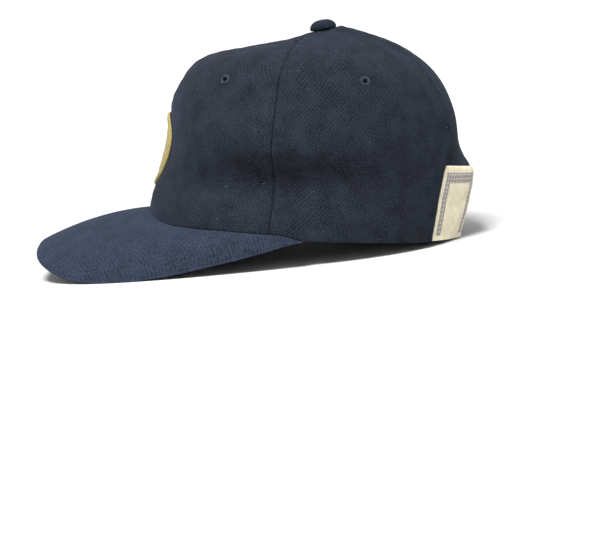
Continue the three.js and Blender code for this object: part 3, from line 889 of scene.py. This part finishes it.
def woven_label():
    """Cream tape with lilac bands of small lozenges along three sides."""
    nodes = Nodes("label_weave", LABEL_CREAM, 0.8, 0.05, specular=0.1)
    u, v = nodes.uv()

    def band(value, low, high):
        above = nodes.maths("GREATER_THAN", value, low)
        return nodes.times(above, nodes.maths("LESS_THAN", value, high))

    sides = nodes.maths("MAXIMUM", band(u, *LEFT_BAND), band(u, *RIGHT_BAND))
    bands = nodes.maths("MAXIMUM", sides, band(v, *TOP_BAND))
    area = nodes.times(band(u, LEFT_BAND[0], RIGHT_BAND[1]), band(v, BANDS_BOTTOM, TOP_BAND[1]))
    folds = [nodes.maths("PINGPONG", value, LOZENGE_PITCH / 2) for value in (u, v)]
    lozenge = nodes.maths("LESS_THAN", nodes.maths("ADD", *folds), LOZENGE_REACH)
    dense = nodes.times_plus(nodes.noise(nodes.vector(u, v), "ink"), 0.9, 0.45)
    dyed = nodes.maths("SUBTRACT", dense, nodes.times(lozenge, 0.5))
    inked = nodes.times(nodes.times(bands, area), dyed)
    threads = nodes.times(nodes.wave(u, LABEL_THREAD), 0.3)
    weave = nodes.times_plus(nodes.wave(v, LABEL_RIB), 0.5, threads)
    ground = nodes.ramp(nodes.noise(nodes.object_place(), "soil"), (0.3, 0.7), LABEL_GROUND)
    nodes.colour(nodes.mix(nodes.times(inked, 0.85), ground, LABEL_LILAC))
    nodes.bump(weave, 0.08)
    return nodes.material


CROWN_DARK = (0.0026, 0.0033, 0.0049)
CROWN_LIGHT = (0.0180, 0.0221, 0.0305)
# The peak's tones are lighter and bluer than the crown's: partly a lighter cloth, and partly painted
# light, the brightness that falls from above on the peak's upward face.
PEAK_DARK_PLUS_PAINTED_LIGHT = (0.0066, 0.0090, 0.0145)
PEAK_LIGHT_PLUS_PAINTED_LIGHT = (0.0250, 0.0325, 0.0525)
side_twill = twill("side_twill", CROWN_DARK, CROWN_LIGHT, 52)
front_twill = twill("front_twill", CROWN_DARK, CROWN_LIGHT, 128, rib=0.04)
peak_twill_with_painted_light = twill("peak_twill_with_painted_light", PEAK_DARK_PLUS_PAINTED_LIGHT, PEAK_LIGHT_PLUS_PAINTED_LIGHT, 38, rib=0.05, sheen=0.05)
button_twill = twill("button_twill", (0.0035, 0.0045, 0.0075), (0.0130, 0.0165, 0.0250), 40)
seam_thread = thread("seam_thread", (0.0045, 0.0060, 0.0090), (0.0180, 0.0220, 0.0310))
eyelet_thread = thread("eyelet_thread_blue", (0.0080, 0.0110, 0.0150), (0.0290, 0.0380, 0.0490))
gold_felt = felt("gold_felt", (0.138, 0.113, 0.042), (0.215, 0.182, 0.080))
pale_felt = felt("pale_felt", (0.172, 0.149, 0.070), (0.236, 0.210, 0.114))
edge_thread = thread("patch_edge_thread", (0.14, 0.115, 0.040), (0.29, 0.24, 0.095))
label_weave = woven_label()


# Crown


def beside_centre(level):
    return half_gap(0.0, level)


def before_side_seam(level):
    return side_seam(level) - half_gap(side_seam(level), level)


def behind_side_seam(level):
    return side_seam(level) + half_gap(side_seam(level), level)


def lapped_edge(level):
    """Edge of the back panel, under the side panel."""
    return rear_seam(level) - math.degrees(GUSSET_LAP / (RIM_LENGTH / 2))


def mirrored(edge):
    return lambda level: -edge(level)


def make_crown():
    panels = {
        "front": (front_twill, beside_centre, before_side_seam, seam_relief, seam_relief),
        "side": (side_twill, behind_side_seam, rear_seam, seam_relief, lap_relief),
    }
    for place, left in panels.items():
        cloth, start, end, start_relief, end_relief = left
        right = (cloth, mirrored(end), mirrored(start), end_relief, start_relief)
        for panel, sewing in ((place + "_left", left), (place + "_right", right)):
            crown_cloth(panel + "_cloth", *sewing, node="panel_" + panel, eyelet="eyelet_" + panel)
    crown_cloth(
        "back_cloth", side_twill, lapped_edge, lambda level: 360 - lapped_edge(level),
        no_relief, no_relief, node="back_gusset", depth=WALL + LAP_GAP, bottom=rim_height,
    )


# Stitches: place along the stitch, and the thread's thickness and rise there
STITCH_SHAPE = table(
    ("place", "girth", "rise"),
    ((0.05, 0.55, -0.05), (0.28, 1.00, 0.06), (0.72, 1.00, 0.06), (0.95, 0.55, -0.05)),
)
STITCH_SIDES = 6
STITCH_LENGTH = 2.2
STITCH_GIRTH = 0.20
STITCH_FLATNESS = 0.8
STITCH_DIP = 0.12
STITCHED_UP_TO = 0.955


def stitches_along(turn, level, lift):
    """Points of a row of stitches along a run on the crown, 26 to a stitch."""
    path = crown_offset(turn, level, lift)
    normals = crown_normal(turn, level)
    run = np.concatenate([[0], np.cumsum(np.linalg.norm(np.diff(path, axis=0), axis=1))])
    starts = np.arange(STITCH_PITCH, run[-1] - STITCH_PITCH, STITCH_PITCH)

    def at(values, places):
        return np.stack([np.interp(places, run, values[:, axis]) for axis in range(3)], -1)

    first = at(path, starts)
    last = at(path, starts + STITCH_LENGTH)
    up = unit(at(normals, starts + STITCH_LENGTH / 2))
    side = unit(np.cross(last - first, up))
    rings = []
    for place, girth, rise in zip(*STITCH_SHAPE.values()):
        centre = first + (last - first) * place + up * rise
        for angle in np.arange(STITCH_SIDES) * 2 * math.pi / STITCH_SIDES:
            out = side * math.cos(angle) + up * STITCH_FLATNESS * math.sin(angle)
            rings.append(centre + STITCH_GIRTH * girth * out)
    return np.stack([first - up * STITCH_DIP, *rings, last - up * STITCH_DIP], 1)


def stitch_faces(count):
    """Faces of a number of stitches, each a run of rings between two tips."""
    rings = len(STITCH_SHAPE["place"])
    last = rings * STITCH_SIDES + 1
    index = np.arange(1, last).reshape(rings, STITCH_SIDES)
    one = strip_faces(index, wrap_rows=True) + fan(index[0], 0) + fan(index[-1, ::-1], last)
    return [[corner + (last + 1) * n for corner in face] for n in range(count) for face in one]


def make_topstitching():
    """A row either side of each seam of the crown, and two along each rear lap."""
    rows = []

    def add(seam, distance):
        turn_low = float(seam(0.0))
        low = float(level_at_height(turn_low, hem_height(turn_low) + WALL))
        level = np.linspace(low, STITCHED_UP_TO, 320)
        turn = seam(level)
        turn = turn + np.degrees(distance / apex_distance(turn, level))
        rows.append(stitches_along(turn, level, cloth_waves(turn, level)))

    for side in (-1, 1):
        for offset in (-TOPSTITCH, TOPSTITCH):
            add(lambda level: side * side_seam(level), offset)
        for offset in LAP_STITCHES:
            add(lambda level: side * rear_seam(level), -side * offset)
        add(lambda level: 0.0 * level, side * TOPSTITCH)
    points = np.concatenate(rows, 0)
    make_piece("topstitching", points, stitch_faces(len(points)), seam_thread, [])


# Peak: the grid of its cloth, and the stitched groove that marks off the piped edge
PEAK_COLUMNS = 300
PEAK_ROWS = 64
PEAK_ROW_POWER = 0.9
PIPING = 2.6
WELT_WIDTH = 0.55
WELT_DEPTH = 0.22
DIMPLE_HEIGHT = 0.10


def make_peak():
    """The peak: two faces of cloth drawn over a board, gathered into a piped outer edge."""
    bearing = 90 * np.sin(np.linspace(-1, 1, PEAK_COLUMNS + 1) * np.pi / 2)[:, None]
    shown = np.linspace(0, 1, PEAK_ROWS) ** PEAK_ROW_POWER
    shares = np.concatenate([[-PEAK_TUCK, -PEAK_TUCK / 2], shown])
    radius = peak_thickness(bearing) / 2 + 0 * shares
    middle = peak_point(bearing, shares) - stacked(0, 0, radius)
    length = np.linalg.norm(peak_point(bearing, 1.0) - peak_point(bearing, 0.0), axis=-1)
    from_edge = (1 - np.maximum(shares, 0)) * length
    taper = np.sqrt(np.clip(1 - (1 - np.clip(from_edge / radius, 0, 1)) ** 2, 0, 1))
    welt = -WELT_DEPTH * hump(from_edge, PIPING, WELT_WIDTH)
    dimple = DIMPLE_HEIGHT * np.sin(bearing / 7.0) * np.sin(shares * 6)
    lift = stacked(0, 0, (radius + welt + dimple) * taper)
    loop = np.concatenate([middle + lift, (middle - lift)[:, ::-1]], 1)
    plan = middle[..., :2]
    uv = np.concatenate([plan, plan[:, ::-1]], 1)
    index = numbered(loop)
    faces = strip_faces(index, wrap_rows=True) + end_caps(index)
    make_piece("peak_cloth", loop, faces, peak_twill_with_painted_light, ["brim"], uv)


# Button: its section from the middle underneath round the rim to the top, as shares of its radius
# and of its height
BUTTON_PROFILE = table(
    ("radius", "height"),
    (
        (0.00, 0.12), (0.75, 0.06), (0.93, 0.00), (1.00, 0.14), (0.99, 0.32),
        (0.90, 0.56), (0.72, 0.78), (0.45, 0.93), (0.00, 1.00),
    ),
)
BUTTON_SIDES = 120
BUTTON_PLEATS = 17
PLEAT_DEPTH = 0.16


def resampled(profile, count):
    """Each column of a short profile, as a smooth run of more values."""
    place = np.linspace(0, 1, count)
    return [through(values, place) for values in profile.values()]


def button_place():
    """The middle of the button's underside, and the slope of the crown under it."""
    turns = np.array([0.0, 180.0, 90.0])
    ahead, behind, beside = crown_surface(turns, level_at_distance(turns, BUTTON_DIAMETER / 2))
    slope = math.atan2(behind[2] - ahead[2], behind[1] - ahead[1])
    base = max((ahead[2] + behind[2]) / 2, beside[2]) + LAP_GAP - BUTTON_FORWARD * math.tan(slope)
    return np.array([0, APEX_SETBACK - BUTTON_FORWARD, base]), slope


def make_button():
    """A cloth-covered button whose cover is gathered in under its rim."""
    radii, heights = (run[1:-1] for run in resampled(BUTTON_PROFILE, 34))
    angle = around(BUTTON_SIDES)
    rim = smoothstep(1 - heights, 0.35, 0.9) * smoothstep(radii, 0.5, 0.95)
    pleats = PLEAT_DEPTH * rim * np.cos(angle * BUTTON_PLEATS + 0.6 * np.sin(angle * 3))
    radius = np.maximum(radii, 0.02) * BUTTON_DIAMETER / 2 + pleats
    uneven = 0.06 * np.cos(angle * 5 + 1) * smoothstep(radii, 0.1, 0.9)
    height = heights * BUTTON_HEIGHT + uneven
    rings = stacked(radius * np.cos(angle), radius * np.sin(angle), height)
    tips = [[0, 0, share * BUTTON_HEIGHT] for share in BUTTON_PROFILE["height"][[0, -1]]]
    points = np.concatenate([rings.reshape(-1, 3), tips])
    index = numbered(rings)
    faces = strip_faces(index, wrap_columns=True)
    faces += fan(index[::-1, 0], index.size) + fan(index[:, -1], index.size + 1)
    centre, slope = button_place()
    placed = turned(points, slope) + centre
    make_piece("button_cover", placed, faces, button_twill, ["top_button"], points[:, :2])


# Eyelets: radius and height of the sewn ring's section, from the hole round the outside to the hole
EYELET_SECTION = table(
    ("radius", "height"),
    (
        (1.45, 0.10), (1.62, 0.62), (2.10, 0.95), (2.70, 0.92), (3.15, 0.62),
        (3.42, 0.10), (3.25, -0.05), (2.60, -0.10), (2.30, -0.80), (2.60, -1.55),
        (3.10, -1.66), (3.05, -1.95), (2.40, -2.10), (1.62, -1.90), (1.45, 0.10),
    ),
)
EYELET_STITCHES = 34
EYELET_MIDDLE = -0.5


def make_eyelet(name):
    """Buttonhole thread sewn round and round through the hole."""
    radii, heights = (run[:-1] for run in resampled(EYELET_SECTION, 43))
    angle = around(EYELET_STITCHES * 6)
    outer = smoothstep(radii, 1.5, 2.2)
    swell = 1 + 0.045 * np.cos(angle * EYELET_STITCHES) * outer
    radius = radii + 0.06 * np.sin(angle * 7) * outer
    height = EYELET_MIDDLE + (heights - EYELET_MIDDLE) * swell
    centre, normal = eyelet_place(name)
    first = unit(np.cross(np.array([0, 0, 1.0]), normal))
    axes = np.stack([first, np.cross(normal, first), normal])
    points = centre + stacked(radius * np.cos(angle), radius * np.sin(angle), height) @ axes
    faces = strip_faces(numbered(points), wrap_rows=True, wrap_columns=True)
    make_piece(name + "_sewn", points, faces, eyelet_thread, [name])


# Patch: share of the radius, and share of the thickness
PATCH_SECTION = table(
    ("radius", "thickness"),
    (
        (0.00, 0.86), (0.56, 0.86), (0.60, 0.80), (0.62, 0.62), (0.66, 0.62), (0.82, 0.80),
        (0.88, 0.98), (0.91, 1.00), (0.93, 0.92), (0.97, 0.76), (1.00, 0.30),
    ),
)
PATCH_INNER = 0.61
PATCH_EDGE = 0.93
PATCH_SIDES = 420
PATCH_STITCHES = 105
STITCH_SLANT = 7.2
PATCH_BACK_GAP = LAP_GAP * 0.4


def patch_place(radius, angle, offset):
    """A place on the front of the crown, by distance and angle from the patch's centre."""
    heights = np.linspace(0.02, 0.9, 400) * CROWN_HEIGHT
    levels = level_at_height(0.0 * heights, heights)
    height = PATCH_CENTRE_HEIGHT + np.cos(angle) * radius
    level = np.interp(height, heights, levels)
    reach = np.interp(height / CROWN_HEIGHT, PROFILE["front_rise"], PROFILE["front_reach"])
    turn = np.degrees(np.sin(angle) * radius / (RIM_WIDTH / 2 * reach))
    return crown_offset(turn, level, offset)


def make_patch():
    """A felt disc with a smaller paler disc on it and an overlocked edge."""
    rings = np.concatenate([np.linspace(0.02, 0.54, 14), np.linspace(0.555, 1.0, 44)])
    angle = around(PATCH_SIDES)
    share = np.interp(rings, PATCH_SECTION["radius"], PATCH_SECTION["thickness"])
    overlock = smoothstep(rings, PATCH_EDGE, PATCH_EDGE + 0.04)
    ridge = np.cos(angle * PATCH_STITCHES + STITCH_SLANT * rings) * overlock
    front = LAP_GAP + PATCH_THICKNESS * share + 0.10 * ridge
    radius = rings * PATCH_DIAMETER / 2 + 0.05 * ridge
    upper = patch_place(radius, angle, front)
    lower = patch_place(radius, angle, PATCH_BACK_GAP)
    loop = np.concatenate([upper, lower[:, ::-1]], 1)
    tips = patch_place(np.zeros(2), np.zeros(2), np.array([front[0, 0], PATCH_BACK_GAP]))
    points = np.concatenate([loop.reshape(-1, 3), tips])
    index = numbered(loop)
    faces = strip_faces(index, wrap_columns=True)
    faces += fan(index[:, 0], index.size) + fan(index[::-1, -1], index.size + 1)
    patch = make_piece("patch_felt", points, faces, gold_felt, ["front_patch"])
    patch.data.materials.append(pale_felt)
    patch.data.materials.append(edge_thread)
    ring_of = np.concatenate([rings, rings[::-1]])
    kind = np.where(ring_of < PATCH_INNER, 1, np.where(ring_of > PATCH_EDGE, 2, 0))
    kinds = np.concatenate([np.tile(kind, PATCH_SIDES), [1, 1]])
    for face in patch.data.polygons:
        face.material_index = int(kinds[face.vertices[0]])


# Label
LABEL_GRID = 91
LABEL_TURN = 160
LABEL_BOTTOM_LEVEL = 0.004


def label_start(level):
    return rear_seam(level) + math.degrees(LABEL_SETBACK / (RIM_WIDTH / 2))


def make_label():
    """Woven tape with a folded top edge, laid on the back beside the rear lap."""
    angle = math.degrees(LABEL_WIDTH / ((RIM_WIDTH + RIM_LENGTH) / 4))
    columns = np.linspace(0, 1, LABEL_GRID)[:, None]
    rows = np.linspace(0, 1, LABEL_GRID)
    top_height = LABEL_HEIGHT - LABEL_TOP_DROP * columns
    top_level = level_at_height(np.full_like(columns, LABEL_TURN), top_height)
    level = LABEL_BOTTOM_LEVEL + (top_level - LABEL_BOTTOM_LEVEL) * rows
    turn = label_start(level) + angle * columns
    normal = crown_normal(turn, level)
    depth = WALL + LAP_GAP - LABEL_GAP - LABEL_THICKNESS
    fold = 0.22 * smoothstep(rows, 0.92, 0.94) - 0.5 * smoothstep(rows, 0.985, 1.0)
    curl = 0.35 * hump(columns, 0, 0.05) + 0.25 * hump(columns, 1, 0.06)
    ripple = 0.10 * np.sin(columns * 9 + rows * 4) + 0.07 * np.sin(rows * 17 + 2)
    lift = fold - curl * 0.4 + ripple - depth
    outer = crown_surface(turn, level) + normal * lift[..., None]
    inner = outer - normal * (LABEL_THICKNESS * 0.7)
    uv = stacked(columns * LABEL_WIDTH, rows * LABEL_HEIGHT)
    points, faces, flat_uv = shell_from(outer, inner, uv)
    make_piece("label_tape", points, faces, label_weave, ["back_label"], flat_uv)


make_crown()
make_topstitching()
make_peak()
make_button()
for eyelet_name in EYELETS:
    make_eyelet(eyelet_name)
make_patch()
make_label()


# Floor, light and camera. The floor and the lights are in metres.

IMAGE_WIDTH = 600
IMAGE_HEIGHT = 550
SENSOR = 36
CAMERA_DISTANCE = 1300
CAMERA_TURN = 2.11
CAMERA_RISE = 8.02
CAMERA_ROLL = 1.77
PIXELS_PER_MM = 1.52
RIM_CENTRE_PIXEL = (307.5, 222.2)

FLOOR_REACH = 1.6
SWEEP_RADIUS = 0.9
WALL_TOP = 2.6
LIGHT_AIM = Vector((0, 0, 0.05))


def floor_paper():
    """Matt paper, a little darker near the cap, where the light is strongest."""
    nodes = Nodes("floor_paper", (0.86, 0.86, 0.86), 0.85)
    distance = nodes.tree.nodes.new("ShaderNodeVectorMath")
    distance.operation = "LENGTH"
    nodes.put(distance.inputs[0], nodes.object_place())
    share = nodes.maths("DIVIDE", distance.outputs["Value"], FLOOR_REACH)
    nodes.colour(nodes.ramp(share, (0.15, 0.80), ((0.46, 0.46, 0.46), (0.88, 0.88, 0.88))))
    return nodes.material


def make_floor():
    """A pale floor that sweeps up all round into a pale wall."""
    angle = np.linspace(0, math.pi / 2, 14)
    bend = FLOOR_REACH + SWEEP_RADIUS * np.sin(angle)
    reach = np.array([0.3, 0.9, *bend, FLOOR_REACH + SWEEP_RADIUS])
    height = np.array([0, 0, *SWEEP_RADIUS * (1 - np.cos(angle)), WALL_TOP])
    turn = around(96)
    points = stacked(reach * np.cos(turn), reach * np.sin(turn), height)
    index = numbered(points)
    faces = [*strip_faces(index, wrap_columns=True), index[::-1, 0].tolist()]
    smooth_object("floor", points, faces, floor_paper())


def make_light(name, place, size, power):
    data = bpy.data.lights.new(name, "AREA")
    data.shape = "DISK"
    data.size = size
    data.energy = power
    light = bpy.data.objects.new(name, data)
    light.location = place
    light.rotation_euler = (LIGHT_AIM - Vector(place)).to_track_quat("-Z", "Y").to_euler()
    bpy.context.scene.collection.objects.link(light)


def make_lights():
    world = bpy.data.worlds.new("studio")
    bpy.context.scene.world = world
    world.use_nodes = True
    background = world.node_tree.nodes["Background"]
    background.inputs["Color"].default_value = (0.97, 0.985, 1.0, 1)
    background.inputs["Strength"].default_value = 0.32
    make_light("key", (0.78, -0.30, 1.75), 0.8, 92)
    make_light("behind", (0.30, 1.40, 0.95), 0.5, 6)


def make_camera():
    """The photograph's angle to the cap, turned with the cap to its rest."""
    turn, rise, roll = np.radians([CAMERA_TURN, CAMERA_RISE, CAMERA_ROLL])
    back = np.array([math.cos(turn) * math.cos(rise), math.sin(turn) * math.cos(rise), math.sin(rise)])
    right = np.array([-math.sin(turn), math.cos(turn), 0])
    up = np.cross(back, right)
    level_right = right * math.cos(roll) + up * math.sin(roll)
    level_up = up * math.cos(roll) - right * math.sin(roll)
    axes = pitched(np.stack([level_right, level_up, back]))
    place = (pitched(back * CAMERA_DISTANCE) + np.array([0, REST_SHIFT, REST_LIFT])) * MM
    focal = PIXELS_PER_MM * CAMERA_DISTANCE
    aim = Vector((RIM_CENTRE_PIXEL[0] - IMAGE_WIDTH / 2, IMAGE_HEIGHT / 2 - RIM_CENTRE_PIXEL[1], -focal))
    swing = aim.normalized().rotation_difference(Vector((0, 0, -1)))
    data = bpy.data.cameras.new("camera")
    data.sensor_width = SENSOR
    data.lens = focal * SENSOR / IMAGE_WIDTH
    data.clip_start = 0.05
    data.clip_end = 50
    camera = bpy.data.objects.new("camera", data)
    facing = Matrix(axes.T.tolist())
    camera.matrix_world = Matrix.Translation(Vector(place)) @ (facing @ swing.to_matrix()).to_4x4()
    bpy.context.scene.collection.objects.link(camera)
    bpy.context.scene.camera = camera


make_floor()
make_lights()
make_camera()
bpy.context.scene.view_settings.view_transform = "Standard"
